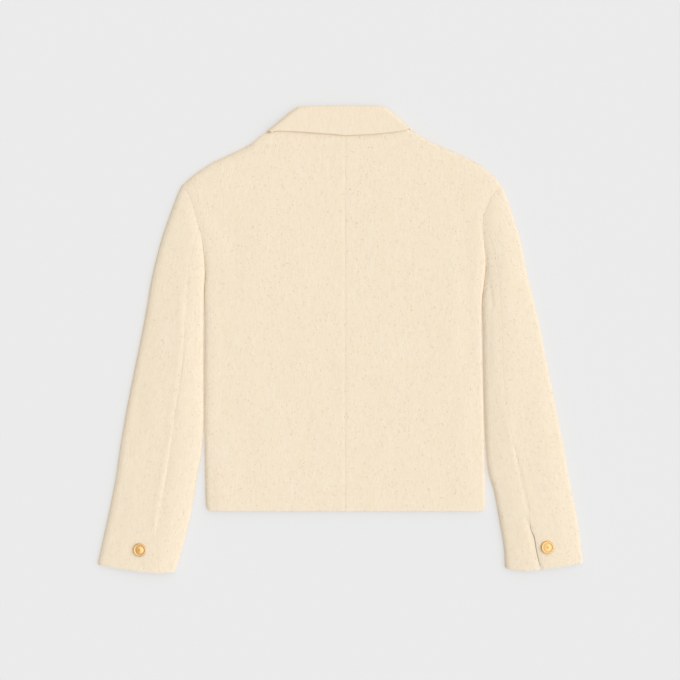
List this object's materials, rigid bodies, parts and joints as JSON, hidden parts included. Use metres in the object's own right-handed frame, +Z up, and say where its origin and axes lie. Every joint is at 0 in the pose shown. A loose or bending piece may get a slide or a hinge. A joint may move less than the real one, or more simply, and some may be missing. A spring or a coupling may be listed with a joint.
{
  "type": "cropped tweed jacket laid flat",
  "caption": "Cropped boucle tweed jacket with a turn-down collar and two-piece sleeves, laid flat on its fronts with the back up; a gilt shank button stands at each cuff vent.",
  "frame": {"origin": "the middle of the garment's box, on the surface that it lies on", "axes": "+X to the right across the sleeves as seen from above the back, +Y from the hem to the collar, +Z up"},
  "size_m": [0.7398, 0.7096, 0.016],
  "materials": {
    "tweed": "cream boucle tweed, matt and slubby, with small loops and a short fuzz",
    "gilt": "gilt metal, softly polished, with a raised rim round a low dome"
  },
  "bodies": {
    "root": {"back_left": "tweed", "back_right": "tweed", "front_left": "tweed", "front_right": "tweed", "top_sleeve_left": "tweed", "top_sleeve_right": "tweed", "under_sleeve_left": "tweed", "under_sleeve_right": "tweed", "collar": "tweed", "button_left": "gilt", "button_right": "gilt"}
  },
  "joints": []
}
